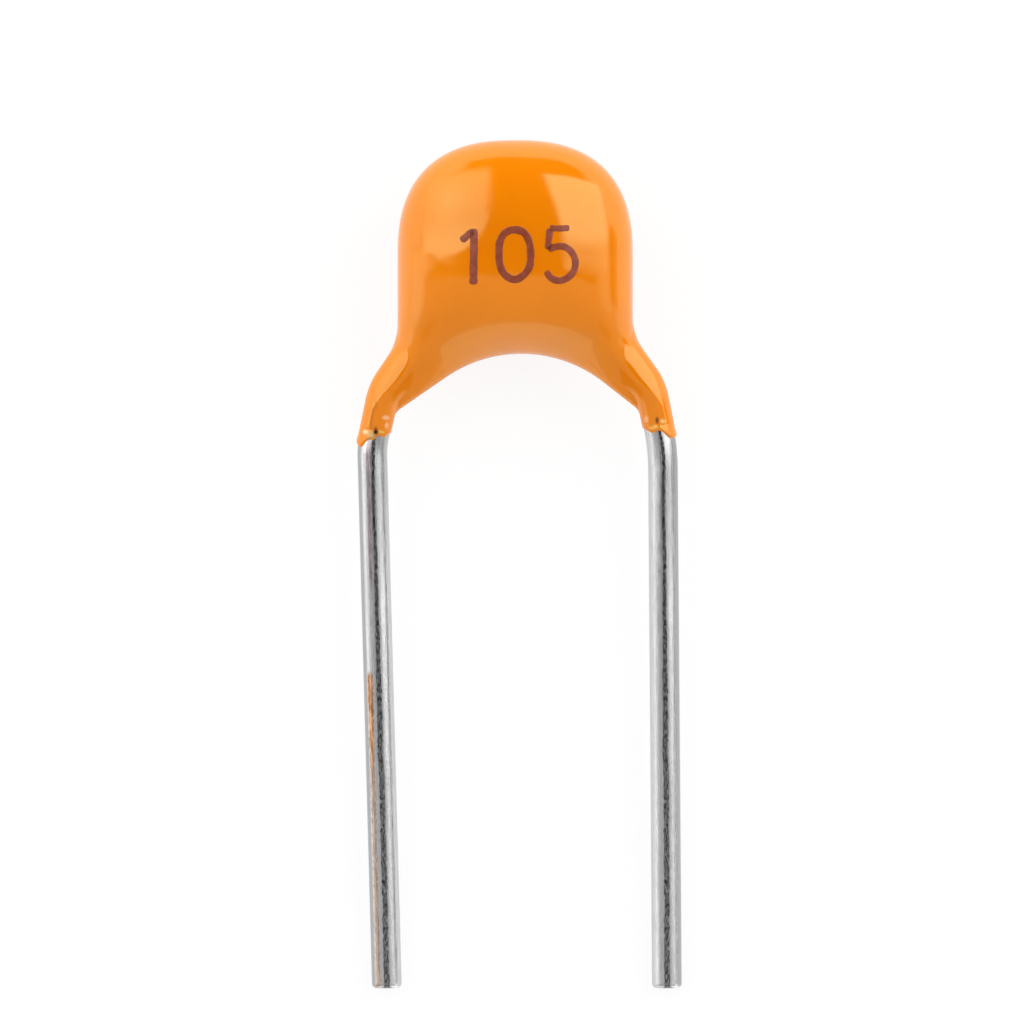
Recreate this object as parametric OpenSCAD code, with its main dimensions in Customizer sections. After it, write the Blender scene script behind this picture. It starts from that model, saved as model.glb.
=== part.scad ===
// Radial multilayer ceramic capacitor with a dipped epoxy coating.
//
// The pieces are drawn upright: X runs from the left lead to the right one,
// Y runs up from the tips of the leads to the top of the body, and the marked
// face looks along +Z.  The finished part lies on its back, as it comes to rest
// on a bench: on the bulge of the coating and the tips of both leads.

/* [Chip] */
// Length of the chip over its two metal ends
chip_length = 2.0; // [1.6:0.1:2.2]
// Width of the ceramic, up and down the body
chip_width = 1.25; // [1.1:0.05:1.4]
// Thickness of the ceramic, through the body
chip_thickness = 1.25; // [1.1:0.05:1.3]
// Height of the chip's middle above the body's widest line
chip_rise = 0.35; // [0.1:0.05:0.5]

/* [Electrodes] */
// Plates joined to each end of the chip
electrodes_per_side = 10; // [2:1:12]
// Thickness of one plate
electrode_thickness = 0.012; // [0.006:0.002:0.014]
// Bare ceramic above the top plate and below the bottom one
cover_thickness = 0.15; // [0.1:0.01:0.2]
// Bare ceramic beside the plates
side_margin = 0.16; // [0.1:0.01:0.3]
// Gap between a plate's free edge and the far end of the ceramic
end_margin = 0.24; // [0.1:0.01:0.4]

/* [Terminations] */
// How far the metal caps reach along the chip
cap_reach = 0.42; // [0.3:0.01:0.6]
// Thickness of the fired copper
copper_thickness = 0.05; // [0.03:0.005:0.08]
// Thickness of the nickel barrier
nickel_thickness = 0.02; // [0.01:0.005:0.03]
// Thickness of the tin finish
tin_thickness = 0.02; // [0.01:0.005:0.03]

/* [Solder] */
// Solder between the wire and the end of the chip
solder_gap = 0.02; // [0.01:0.005:0.05]
// Solder left on the end of the chip at the fillet's outer edge
solder_edge = 0.04; // [0.02:0.005:0.08]
// Solder left on the flanks of the wire
solder_flank = 0.05; // [0.02:0.005:0.08]
// Height of the joint along the wire
solder_length = 1.15; // [0.7:0.05:1.2]

/* [Wires] */
// Diameter of the tinned wire
wire_diameter = 0.53; // [0.4:0.01:0.55]
// How far the wires reach up past the chip's middle
wire_reach = 0.6; // [0.4:0.05:0.8]
// Rounding of the cropped tips
tip_rounding = 0.09; // [0.03:0.01:0.15]
// Bend radius beside the chip
shoulder_bend = 0.8; // [0.6:0.05:1]
// Bend radius of the kink under the coating
kink_bend = 0.95; // [0.7:0.05:1.2]

/* [Left wire] */
// Distance of the kink's corner from the middle of the body
left_kink_out = 2.33; // [2.2:0.01:2.5]
// Height of the kink's corner
left_kink_height = 10.54; // [10.3:0.01:10.7]
// Angle of the wire between the chip and the kink
left_flare = 36.5; // [30:0.5:40]
// Angle of the wire where it leaves the coating
left_exit = 12.2; // [6:0.1:14]
// Height of the run between the last soft bend and the kink
left_set_height = 0.94; // [0.85:0.01:1.4]
// Radius of the last soft bend
left_set_bend = 1.6; // [1:0.1:6]
// Outward lean of the straight run, towards its tip
left_lean = -1.57; // [-3:0.01:3]
// How far below the kink's corner the coating ends on the wire
left_coat_end = 0.66; // [0.55:0.01:0.69]

/* [Right wire] */
// Distance of the kink's corner from the middle of the body
right_kink_out = 2.4; // [2.2:0.01:2.5]
// Height of the kink's corner
right_kink_height = 10.6; // [10.3:0.01:10.7]
// Angle of the wire between the chip and the kink
right_flare = 38; // [30:0.5:40]
// Angle of the wire where it leaves the coating
right_exit = 11.6; // [6:0.1:14]
// Height of the run between the last soft bend and the kink
right_set_height = 1.04; // [1:0.01:1.5]
// Radius of the last soft bend
right_set_bend = 4; // [1:0.1:6]
// Outward lean of the straight run, towards its tip
right_lean = 0.43; // [-3:0.01:3]
// How far below the kink's corner the coating ends on the wire
right_coat_end = 0.63; // [0.6:0.01:0.75]

/* [Coating] */
// Width of the body
body_width = 4.17; // [4.1:0.01:4.5]
// Thickness of the body
body_thickness = 2.4; // [2.3:0.05:2.8]
// Height of the body's widest and thickest line
belly_height = 12.95; // [12.8:0.01:13.2]
// Rise of the dome above that line
dome_rise = 2.06; // [1.9:0.01:2.4]
// Squareness of the dome: 2 is an ellipse
dome_power = 2.5; // [2.2:0.01:3]
// Squareness of the body's edge in section
edge_power = 2.2; // [2:0.05:2.6]
// How fast the body thins towards the legs
chin_drop = 1.78; // [1.6:0.01:2.2]
// Radius where the side of the body flows into a leg
waist_radius = 1; // [0.5:0.05:1.5]
// Coating radius around the wire at the coating's end
coat_radius_end = 0.285; // [0.28:0.005:0.3]
// Coating radius around the wire at the kink
coat_radius_kink = 0.3; // [0.29:0.005:0.34]
// Coating radius around the wire below the chip
coat_radius_shoulder = 0.38; // [0.33:0.01:0.45]
// Height of the ridge over the wire, at the kink
ridge_height_kink = 0.36; // [0.34:0.01:0.4]
// Height of the ridge over the wire, below the chip
ridge_height_shoulder = 0.46; // [0.42:0.01:0.5]
// How far inward of the wire the ridge's crest lies
crest_shift = 0.13; // [0.05:0.01:0.16]
// Steepness of the ridge's inner face
inner_slope = 0.9; // [0.7:0.05:1.1]

/* [Arch between the legs] */
// Radius of the arch
arch_radius = 2.35; // [2:0.05:2.8]
// Height of the crown of the arch
arch_height = 11.22; // [11:0.01:11.4]
// Offset of the arch from the middle of the body
arch_offset = 0.11; // [-0.2:0.01:0.2]
// Slope of the arch's left flank
left_arch_slope = 34.5; // [32:0.5:40]
// Slope of the arch's right flank
right_arch_slope = 38; // [32:0.5:40]
// Rounding where the arch meets a wire
arch_toe_radius = 0.25; // [0.1:0.05:0.4]
// Depth of the rounding along the arch's edge
arch_edge_depth = 0.7; // [0.4:0.05:1]
// Thickness of the web between a ridge and the arch
web_thickness = 0.5; // [0.2:0.05:0.6]

/* [Hidden] */
$fn = 48;
// Sections of the coating from leg to leg, and points around each of them
coat_sections = 72;
coat_ring = 32;
outline_steps = 24;
outline_step = 0.1;
edge_probe = 0.004;
longest_handle = 0.9;
bend_steps = 8;
// How the coating's thickness fades and blends
chin_power = 4;
crest_fade = 0.3;
crest_rounding = 0.035;
slope_edge_depth = 0.2;
web_fade = 0.25;
web_edge_depth = 0.25;
edge_share = 0.42;
blend_power = 6;
// The straight runs of a wire are a hair thinner than its bends and reach into
// them, so that no two surfaces of a wire lie on each other
run_step = 0.0001;
run_lap = 0.005;

LEFT = -1;
RIGHT = 1;
wire_radius = wire_diameter / 2;
run_radius = wire_radius - run_step;
cap_thickness = copper_thickness + nickel_thickness + tin_thickness;
ceramic_length = chip_length - 2 * cap_thickness;
chip_height = belly_height + chip_rise;
wire_height = chip_height + wire_reach;
wire_inner_x = chip_length / 2 + solder_gap + wire_radius;
half_width = body_width / 2;
half_thickness = body_thickness / 2;
arch_center = [arch_offset, arch_height - arch_radius];

// ---- plane geometry -------------------------------------------------------

function unit(v) = v / norm(v);
function turned(v, a) = [v.x * cos(a) - v.y * sin(a), v.x * sin(a) + v.y * cos(a)];
function cross2(a, b) = a.x * b.y - a.y * b.x;
function between(a, b, f) = a + (b - a) * f;

// Where the line through p along d meets the line through q along e
function meet(p, d, q, e) = p + d * cross2(q - p, e) / cross2(d, e);

// A path with its inner corners rounded to the radii given, one for each corner
function corner_arc(before, p, after, r, steps) =
    let (
        a = unit(before - p),
        b = unit(after - p),
        half = acos(max(-1, min(1, a * b))) / 2,
        center = p + unit(a + b) * r / sin(half),
        first = p + a * r / tan(half) - center,
        sweep = (180 - 2 * half) * (cross2(a, b) < 0 ? 1 : -1)
    )
    [for (i = [0:steps]) center + turned(first, sweep * i / steps)];
function rounded(points, radii, steps) =
    let (last = len(points) - 1)
    [for (i = [0:last])
        for (p = i == 0 || i == last ? [points[i]]
            : corner_arc(points[i - 1], points[i], points[i + 1], radii[i - 1], steps))
        p];

// The same path with points set along its straight runs, at most a step apart
function stepped(points, step) = [
    for (i = [0:len(points) - 2])
        let (n = max(1, ceil(norm(points[i + 1] - points[i]) / step)))
        for (k = [0:n - 1]) between(points[i], points[i + 1], k / n),
    points[len(points) - 1]
];

// ---- route of each wire ---------------------------------------------------

function by_side(side, left, right) = side == LEFT ? left : right;
function kink_out(side) = by_side(side, left_kink_out, right_kink_out);
function kink_height(side) = by_side(side, left_kink_height, right_kink_height);
function flare(side) = by_side(side, left_flare, right_flare);
function exit_angle(side) = by_side(side, left_exit, right_exit);
function set_height(side) = kink_height(side) - by_side(side, left_set_height, right_set_height);
function set_bend(side) = by_side(side, left_set_bend, right_set_bend);
function lean(side) = by_side(side, left_lean, right_lean);
function coat_end(side) = kink_height(side) - by_side(side, left_coat_end, right_coat_end);
function arch_slope(side) = by_side(side, left_arch_slope, right_arch_slope);

// A direction that points down and outward, at an angle to the vertical
function down_out(side, a) = [side * sin(a), -cos(a)];
// The outward side of such a direction
function outward(side, a) = [side * cos(a), sin(a)];

function kink_corner(side) = [side * kink_out(side), kink_height(side)];
function shoulder_corner(side) = [
    side * wire_inner_x,
    kink_height(side) + (kink_out(side) - wire_inner_x) / tan(flare(side))
];
function set_corner(side) =
    kink_corner(side)
    + down_out(side, exit_angle(side))
    * (kink_height(side) - set_height(side)) / cos(exit_angle(side));
function tip(side) =
    set_corner(side) + down_out(side, lean(side)) * set_height(side) / cos(lean(side));
function wire_corners(side) = [
    tip(side),
    set_corner(side),
    kink_corner(side),
    shoulder_corner(side),
    [side * wire_inner_x, wire_height]
];
wire_bends = [for (side = [LEFT, RIGHT]) [set_bend(side), kink_bend, shoulder_bend]];
function bends(side) = by_side(side, wire_bends[0], wire_bends[1]);

// Headings of the wire's four straight runs, from the tip up
function headings(side) = [lean(side), exit_angle(side), flare(side), 0];

// ---- outline of the coating -----------------------------------------------

// Middle of the wire where the coating ends
function coat_end_center(side) =
    kink_corner(side)
    + down_out(side, exit_angle(side))
    * (kink_height(side) - coat_end(side)) / cos(exit_angle(side));

// The legs' outer edge follows the wire at the coating's radius
function leg_edge(side) =
    let (
        exit_out = outward(side, exit_angle(side)),
        flare_out = outward(side, flare(side)),
        end = coat_end_center(side) + exit_out * coat_radius_end,
        low = kink_corner(side) + flare_out * coat_radius_kink,
        high = shoulder_corner(side) + flare_out * coat_radius_shoulder
    )
    rounded([
        end,
        meet(end, down_out(side, exit_angle(side)), low, high - low),
        meet(low, high - low, [side * half_width, 0], [0, 1]),
        [side * half_width, belly_height]
    ], [kink_bend + coat_radius_kink, waist_radius], bend_steps);

// Right half of the dome, from the side of the body to its top
function dome_x(a) = half_width * pow(cos(a), 2 / dome_power);
function dome_y(a) = belly_height + dome_rise * pow(sin(a), 2 / dome_power);
dome = [for (i = [1:outline_steps - 1]) let (a = 90 * i / outline_steps) [dome_x(a), dome_y(a)]];

function mirrored(points) = [for (p = points) [-p.x, p.y]];
function reversed(points) = [for (i = [len(points) - 1:-1:0]) points[i]];
outer_edge = concat(
    leg_edge(LEFT),
    mirrored(dome),
    [[0, belly_height + dome_rise]],
    reversed(dome),
    reversed(leg_edge(RIGHT))
);

// The inner edge: up the inside of a wire, over the arch and down the other
function arch_side(side) = arch_center + outward(side, 90 - arch_slope(side)) * arch_radius;
function arch_run(side) = [side * cos(arch_slope(side)), -sin(arch_slope(side))];
function arch_toe(side) =
    meet(arch_side(side), arch_run(side), coat_end_inner(side), down_out(side, exit_angle(side)));
function coat_end_inner(side) =
    coat_end_center(side) - outward(side, exit_angle(side)) * coat_radius_end;
inner_edge = rounded([
    coat_end_inner(LEFT),
    arch_toe(LEFT),
    meet(arch_side(LEFT), arch_run(LEFT), arch_side(RIGHT), arch_run(RIGHT)),
    arch_toe(RIGHT),
    coat_end_inner(RIGHT)
], [arch_toe_radius, arch_radius, arch_toe_radius], outline_steps);

// Both edges as seen from the middle of the arch: [bearing, distance]
function bearing(p) = atan2(p.x - arch_center.x, p.y - arch_center.y);
function polar(points) = [for (p = points) [bearing(p), norm(p - arch_center)]];
outer_polar = polar(stepped(outer_edge, outline_step));
inner_polar = polar(stepped(inner_edge, outline_step));
function edge_point(table, f) =
    let (
        first = table[0][0],
        last = table[len(table) - 1][0],
        a = between(first, last, f)
    )
    arch_center + lookup(a, table) * [sin(a), cos(a)];

// ---- thickness of the coating ---------------------------------------------

// Rises from 0 at an edge to 1 at a depth, as a quarter circle does
function rounding(d, depth) = sqrt(max(0, 1 - pow(1 - min(1, d / depth), 2)));

// The body: a pillow that thins towards the legs
function pillow(p) =
    let (
        sideways = pow(min(1, abs(p.x) / half_width), dome_power),
        above = pow(max(0, p.y - belly_height) / dome_rise, dome_power),
        below = pow(max(0, belly_height - p.y) / chin_drop, chin_power)
    )
    half_thickness * pow(max(0, 1 - sideways - above), 1 / edge_power) / (1 + below);

// The ridge over a wire: a broad outer face up to a crest that lies inward of the
// wire, and a short steep inner face.  Towards the coating's end it turns round.
function leg_line(side) = [
    coat_end_center(side) + down_out(side, exit_angle(side)),
    each corner_arc(set_corner(side), kink_corner(side), shoulder_corner(side), kink_bend, bend_steps),
    shoulder_corner(side),
    shoulder_corner(side) + [0, 1]
];
leg_lines = [leg_line(LEFT), leg_line(RIGHT)];
function by_height(side, y, end, kink, shoulder) = lookup(y, [
    [coat_end(side), end],
    [kink_height(side), kink],
    [shoulder_corner(side).y, shoulder]
]);
function run_offset(p, a, b) =
    let (
        f = max(0, min(1, (p - a) * (b - a) / ((b - a) * (b - a)))),
        away = p - between(a, b, f)
    )
    norm(away) * (cross2(b - a, away) < 0 ? -1 : 1);
function line_offset(p, line) =
    let (
        offsets = [for (i = [1:len(line) - 1]) run_offset(p, line[i - 1], line[i])],
        nearest = min([for (d = offsets) abs(d)])
    )
    [for (d = offsets) if (abs(d) == nearest) d][0];
function smooth_step(f) = let (t = max(0, min(1, f))) t * t * (3 - 2 * t);
function ridge(p, to_inner) =
    let (
        side = p.x < 0 ? LEFT : RIGHT,
        radius = by_height(side, p.y, coat_radius_end, coat_radius_kink, coat_radius_shoulder),
        height = by_height(side, p.y, coat_radius_end, ridge_height_kink, ridge_height_shoulder),
        sharpness = smooth_step((p.y - kink_height(side) + crest_fade) / (2 * crest_fade)),
        shift = crest_shift * sharpness,
        past_crest = side * line_offset(p, leg_lines[side == LEFT ? 0 : 1]) - shift,
        round_face = sqrt(max(0, 1 - pow(past_crest / radius, 2))),
        drop = norm([crest_rounding, inner_slope * past_crest]) - crest_rounding,
        steep_face = max(0, 1 - drop / height) * rounding(to_inner, slope_edge_depth)
    )
    height * (past_crest < 0 ? sqrt(max(0, 1 - pow(past_crest / (radius + shift), 2)))
        : between(round_face, steep_face, sharpness));

// The web between a ridge and the arch, which runs out at the coating's end
function web(f) = web_thickness / 2 * rounding(min(f, 1 - f), web_fade);

// Half the coating's thickness at p, which lies on section f of the width given
function half_depth(p, f, width, to_outer, to_inner) =
    let (
        arch_round = rounding(to_inner, min(arch_edge_depth, edge_share * width)),
        side_round = rounding(to_outer, min(web_edge_depth, edge_share * width))
    )
    pow(
        pow(pillow(p) * arch_round, blend_power)
        + pow(ridge(p, to_inner), blend_power)
        + pow(web(f) * arch_round * side_round, blend_power),
        1 / blend_power
    );

// Points of the skin: closed rings across the horseshoe, each of which leaves
// the outer edge and reaches the inner edge square to it
function square_to(table, f) =
    let (
        low = edge_point(table, max(0, f - edge_probe)),
        high = edge_point(table, min(1, f + edge_probe))
    )
    turned(unit(high - low), -90);
function across(a, a_handle, b_handle, b, s) =
    a * pow(1 - s, 3)
    + (a + a_handle) * 3 * s * pow(1 - s, 2)
    + (b + b_handle) * 3 * s * s * (1 - s)
    + b * pow(s, 3);
function section(f) =
    let (
        outer = edge_point(outer_polar, f),
        inner = edge_point(inner_polar, f),
        width = norm(inner - outer),
        handle = min(width / 3, longest_handle),
        outer_handle = square_to(outer_polar, f) * handle,
        inner_handle = -square_to(inner_polar, f) * handle
    )
    [for (i = [0:coat_ring - 1])
        let (
            a = 360 * i / coat_ring,
            s = (1 - cos(a)) / 2,
            p = across(outer, outer_handle, inner_handle, inner, s),
            z = i == 0 || 2 * i == coat_ring ? 0
                : half_depth(p, f, width, norm(p - outer), norm(p - inner))
        )
        [p.x, p.y, i < coat_ring / 2 ? z : -z]];
skin_points = [for (k = [0:coat_sections]) for (p = section(k / coat_sections)) p];

function ring_index(k, i) = k * coat_ring + i % coat_ring;
skin_faces = concat(
    [[for (i = [0:coat_ring - 1]) ring_index(0, i)]],
    [for (k = [0:coat_sections - 1]) for (i = [0:coat_ring - 1]) each [
        [ring_index(k, i), ring_index(k + 1, i), ring_index(k + 1, i + 1)],
        [ring_index(k, i), ring_index(k + 1, i + 1), ring_index(k, i + 1)]
    ]],
    [[for (i = [coat_ring - 1:-1:0]) ring_index(coat_sections, i)]]
);

// ---- lying on its back ----------------------------------------------------

// Back of a cropped tip: the rounding's center and radius, in Y and Z
tip_round_center = [tip_rounding, -(run_radius - tip_rounding)];
// The tilt that brings a point of the skin down to the level of the tips
function resting_tilt(p) =
    let (reach = [p.y, p.z] - tip_round_center)
    -atan2(reach.y, reach.x) - asin(tip_rounding / norm(reach));
back_tilt = max([for (p = skin_points) if (p.z < 0 && p.y > arch_height) resting_tilt(p)]);
back_lift =
    tip_rounding
    - tip_round_center.x * sin(back_tilt)
    - tip_round_center.y * cos(back_tilt);
total_length = belly_height + dome_rise;
module lying() {
    translate([0, -total_length * cos(back_tilt) / 2, back_lift])
        rotate([back_tilt, 0, 0])
            children();
}

// ---- wires ----------------------------------------------------------------

// One bend, from the origin along +Z, towards +X by a positive angle
module wire_bend(angle, radius) {
    translate([sign(angle) * radius, 0, 0])
        rotate([90, 0, angle > 0 ? 180 : 0])
            rotate_extrude(angle = abs(angle))
                translate([radius, 0])
                    circle(wire_radius);
}

// Moves its children to the far end of that bend
module after_bend(angle, radius) {
    translate([sign(angle) * radius, 0, 0])
        rotate([0, angle, 0])
            translate([-sign(angle) * radius, 0, 0])
                children();
}

// Lengths of a route's straight runs, less what its bends take
function bend_takes(p, q, r, radius) =
    radius * tan(acos(max(-1, min(1, unit(q - p) * unit(r - q)))) / 2);
function run_length(corners, radii, i) =
    norm(corners[i + 1] - corners[i])
    - (i > 0 ? bend_takes(corners[i - 1], corners[i], corners[i + 1], radii[i - 1]) : 0)
    - (i < len(radii) ? bend_takes(corners[i], corners[i + 1], corners[i + 2], radii[i]) : 0);

// The runs and bends of a wire from run i on, along +Z
module wire_from(side, i) {
    length = run_length(wire_corners(side), bends(side), i);
    if (i == 0)
        cropped_run(length + run_lap);
    else
        translate([0, 0, -run_lap])
            cylinder(h = length + 2 * run_lap, r = run_radius);
    if (i < len(bends(side))) {
        turn = side * (headings(side)[i] - headings(side)[i + 1]);
        translate([0, 0, length]) {
            wire_bend(turn, bends(side)[i]);
            after_bend(turn, bends(side)[i])
                wire_from(side, i + 1);
        }
    }
}

// The straight run, with the edge of its cropped tip rounded
module cropped_run(length) {
    rotate_extrude() {
        square([run_radius - tip_rounding, length]);
        translate([0, tip_rounding])
            square([run_radius, length - tip_rounding]);
        translate([run_radius - tip_rounding, tip_rounding])
            circle(tip_rounding);
    }
}

module wire(side) {
    translate([tip(side).x, tip(side).y, 0])
        rotate([0, 0, side * lean(side)])
            rotate([-90, 0, 0])
                wire_from(side, 0);
}

// ---- chip -----------------------------------------------------------------

// A block on the chip's middle
module block(length, width, thickness) {
    translate([0, chip_height, 0])
        cube([length, width, thickness], center = true);
}

// The outside of a metal cap, grown over the ceramic by the layers below it
module cap_block(side, layers) {
    translate([side * (ceramic_length / 2 + layers - (cap_reach + layers) / 2), chip_height, 0])
        cube([
            cap_reach + layers,
            chip_width + 2 * layers,
            chip_thickness + 2 * layers
        ], center = true);
}

module ceramic() {
    block(ceramic_length, chip_width, chip_thickness);
}

// Plates stack through the chip, left and right in turn
stack_height = chip_thickness - 2 * cover_thickness - electrode_thickness;
function plate_z(side, i) =
    -stack_height / 2
    + stack_height * (2 * (i - 1) + (side == LEFT ? 0 : 1)) / (2 * electrodes_per_side - 1);
module electrode(side, i) {
    length = ceramic_length - end_margin;
    translate([side * (ceramic_length - length) / 2, chip_height, plate_z(side, i)])
        cube([length, chip_width - 2 * side_margin, electrode_thickness], center = true);
}

// A metal layer of a cap: what lies between two growths of the cap
module cap_layer(side, inner, outer) {
    difference() {
        cap_block(side, outer);
        if (inner > 0)
            cap_block(side, inner);
        else
            ceramic();
    }
}

// Fillets on both flanks of the wire, from its middle to the end of the chip
module solder_form(side) {
    face = chip_length / 2;
    hollow = wire_inner_x - face - solder_edge;
    reach = wire_radius + solder_flank + hollow;
    translate([0, chip_height + solder_length / 2, 0])
        rotate([90, 0, 0])
            linear_extrude(solder_length)
                difference() {
                    translate([side > 0 ? face : -wire_inner_x, -reach])
                        square([wire_inner_x - face, 2 * reach]);
                    for (flank = [-1, 1])
                        translate([side * wire_inner_x, flank * reach])
                            circle(hollow);
                }
}

// ---- nodes ----------------------------------------------------------------

module coating() {
    color("darkorange")
        lying()
            difference() {
                polyhedron(points = skin_points, faces = skin_faces, convexity = 6);
                ceramic();
                for (side = [LEFT, RIGHT]) {
                    cap_block(side, cap_thickness);
                    solder_form(side);
                    wire(side);
                }
            }
}

module ceramic_chip() {
    color("tan")
        lying()
            difference() {
                ceramic();
                for (side = [LEFT, RIGHT])
                    for (i = [1:electrodes_per_side])
                        electrode(side, i);
            }
}

module inner_electrode(side, i) {
    color("slategray")
        lying()
            electrode(side, i);
}

module copper_termination(side) {
    color("peru")
        lying()
            cap_layer(side, 0, copper_thickness);
}

module nickel_barrier(side) {
    color("darkgray")
        lying()
            cap_layer(side, copper_thickness, copper_thickness + nickel_thickness);
}

module tin_finish(side) {
    color("gainsboro")
        lying()
            cap_layer(side, copper_thickness + nickel_thickness, cap_thickness);
}

module solder_joint(side) {
    color("silver")
        lying()
            difference() {
                solder_form(side);
                wire(side);
            }
}

module lead(side) {
    color("lightgray")
        lying()
            wire(side);
}

coating();
ceramic_chip();
for (i = [1:electrodes_per_side]) {
    inner_electrode(LEFT, i);
    inner_electrode(RIGHT, i);
}
copper_termination(LEFT);  // left_copper_termination
copper_termination(RIGHT);  // right_copper_termination
nickel_barrier(LEFT);  // left_nickel_barrier
nickel_barrier(RIGHT);  // right_nickel_barrier
tin_finish(LEFT);  // left_tin_finish
tin_finish(RIGHT);  // right_tin_finish
solder_joint(LEFT);  // left_solder_joint
solder_joint(RIGHT);  // right_solder_joint
lead(LEFT);  // left_lead
lead(RIGHT);  // right_lead
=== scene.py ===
"""A dipped radial ceramic capacitor, lying on its back on a pale bench."""

import math

import bpy
import numpy as np
from mathutils import Matrix, Vector


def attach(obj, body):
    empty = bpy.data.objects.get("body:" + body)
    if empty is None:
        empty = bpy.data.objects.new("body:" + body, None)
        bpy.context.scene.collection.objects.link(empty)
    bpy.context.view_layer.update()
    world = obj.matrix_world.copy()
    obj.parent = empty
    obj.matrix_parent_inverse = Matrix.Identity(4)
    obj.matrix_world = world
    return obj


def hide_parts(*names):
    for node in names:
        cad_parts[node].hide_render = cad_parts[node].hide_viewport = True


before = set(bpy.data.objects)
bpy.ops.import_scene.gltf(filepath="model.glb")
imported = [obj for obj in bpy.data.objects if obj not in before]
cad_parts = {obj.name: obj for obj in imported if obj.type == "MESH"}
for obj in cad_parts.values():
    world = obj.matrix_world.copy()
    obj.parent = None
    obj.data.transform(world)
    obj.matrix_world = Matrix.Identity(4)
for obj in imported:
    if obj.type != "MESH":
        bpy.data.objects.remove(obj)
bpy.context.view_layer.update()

# ---- sizes in millimetres, with the capacitor standing on the tips of its leads --------------

MM = 0.001
REST_TILT = math.radians(4.28034)
REST_LIFT = 0.257695
TOTAL_LENGTH = 15.01

WIRE_RADIUS = 0.265
TIP_ROUNDING = 0.09
WIRE_INNER_X = 1.285
WIRE_TOP = 13.9
SHOULDER_BEND = 0.8
KINK_BEND = 0.95

BODY_WIDTH = 4.17
BODY_THICKNESS = 2.4
BELLY_HEIGHT = 12.95
DOME_RISE = 2.06
DOME_POWER = 2.5
EDGE_POWER = 2.2
CHIN_DROP = 1.78
CHIN_POWER = 4
WAIST_RADIUS = 1.0
COAT_AT_END = 0.285
COAT_AT_KINK = 0.3
COAT_AT_SHOULDER = 0.38
RIDGE_AT_KINK = 0.36
RIDGE_AT_SHOULDER = 0.46
CREST_SHIFT = 0.13
CREST_FADE = 0.3
CREST_ROUNDING = 0.035
INNER_SLOPE = 0.9
SLOPE_EDGE_DEPTH = 0.2
WEB_THICKNESS = 0.5
WEB_FADE = 0.25
WEB_EDGE_DEPTH = 0.25

ARCH_RADIUS = 2.35
ARCH_CENTER = np.array([0.11, 11.22 - ARCH_RADIUS])
ARCH_TOE_RADIUS = 0.25
ARCH_EDGE_DEPTH = 0.7
EDGE_SHARE = 0.42
BLEND_POWER = 6
LONGEST_HANDLE = 0.9

LEGS = {
    "left": dict(side=-1, kink_out=2.33, kink_height=10.54, flare=36.5, exit=12.2, set_height=9.6,
                 set_bend=1.6, lean=-1.57, coat_end=9.88, arch_slope=34.5),
    "right": dict(side=1, kink_out=2.4, kink_height=10.6, flare=38.0, exit=11.6, set_height=9.56,
                  set_bend=4.0, lean=0.43, coat_end=9.97, arch_slope=38.0),
}

# How far the dip creeps down each wire past its nominal end, by angle round the wire:
# 0 is the outer side, 90 the marked face, 180 the inner side, 270 the back
CREEP = {
    "left": ((0, 0.26), (20, 0.31), (38, 0.33), (52, 0.3), (64, 0.21), (80, 0.19), (94, 0.19),
             (103, 0.09), (112, 0.09), (128, 0.11), (142, 0.06), (158, 0.01), (180, -0.02),
             (215, 0.05), (250, 0.14), (290, 0.1), (330, 0.15)),
    "right": ((0, 0.25), (25, 0.27), (57, 0.27), (70, 0.19), (86, 0.11), (101, 0.11), (117, 0.14),
              (141, 0.07), (165, 0.02), (180, 0.0), (215, 0.05), (250, 0.12), (290, 0.12),
              (330, 0.17)),
}
CREEP_REACH = 0.42
CREEP_STEP = 0.012
CREEP_WAVES = 16
RIM_SWELL = 0.014
RIM_WIDTH = 0.05
SUNK_UNDER_WIRE = 0.012
FILM_TUCK = 0.002

# How finely the dip and the wires are drawn
DIP_SECTIONS = 340
DIP_RING = 120
EDGE_STEPS = 60
ARCH_STEPS = 120
DOME_STEPS = 180
WIRE_SIDES = 96
BEND_STEPS = 24
TIP_STEP_DEGREES = 10
EDGE_SPACING = 0.02
ROUTE_SPACING = 0.004
SQUARE_PROBE = 0.004
AHEAD_PROBE = 0.02
LINE_REACH = 1.0
FAR_AWAY = 9.0


def lay_down(points):
    """Takes points of the standing capacitor, in millimetres, to where it lies, in metres."""
    p = np.asarray(points, float).reshape(-1, 3)
    c, s = math.cos(REST_TILT), math.sin(REST_TILT)
    y = p[:, 1] * c - p[:, 2] * s - TOTAL_LENGTH * c / 2
    z = p[:, 1] * s + p[:, 2] * c + REST_LIFT
    return np.column_stack([p[:, 0], y, z]) * MM


# ---- plane geometry of the wire's route and of the dip's two edges ---------------------------


def unit(v):
    return v / np.linalg.norm(v, axis=-1, keepdims=True)


def turned(v, degrees):
    c, s = math.cos(math.radians(degrees)), math.sin(math.radians(degrees))
    return np.stack([v[..., 0] * c - v[..., 1] * s, v[..., 0] * s + v[..., 1] * c], axis=-1)


def cross2(a, b):
    return a[0] * b[1] - a[1] * b[0]


def meet(p, d, q, e):
    """Where the line through p along d crosses the line through q along e."""
    return p + d * cross2(q - p, e) / cross2(d, e)


def corner_arc(before, corner, after, radius, steps):
    a, b = unit(before - corner), unit(after - corner)
    half = math.degrees(math.acos(max(-1.0, min(1.0, float(a @ b))))) / 2
    center = corner + unit(a + b) * radius / math.sin(math.radians(half))
    first = corner + a * radius / math.tan(math.radians(half)) - center
    sweep = (180 - 2 * half) * (1 if cross2(a, b) < 0 else -1)
    return [center + turned(first, sweep * i / steps) for i in range(steps + 1)]


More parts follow.
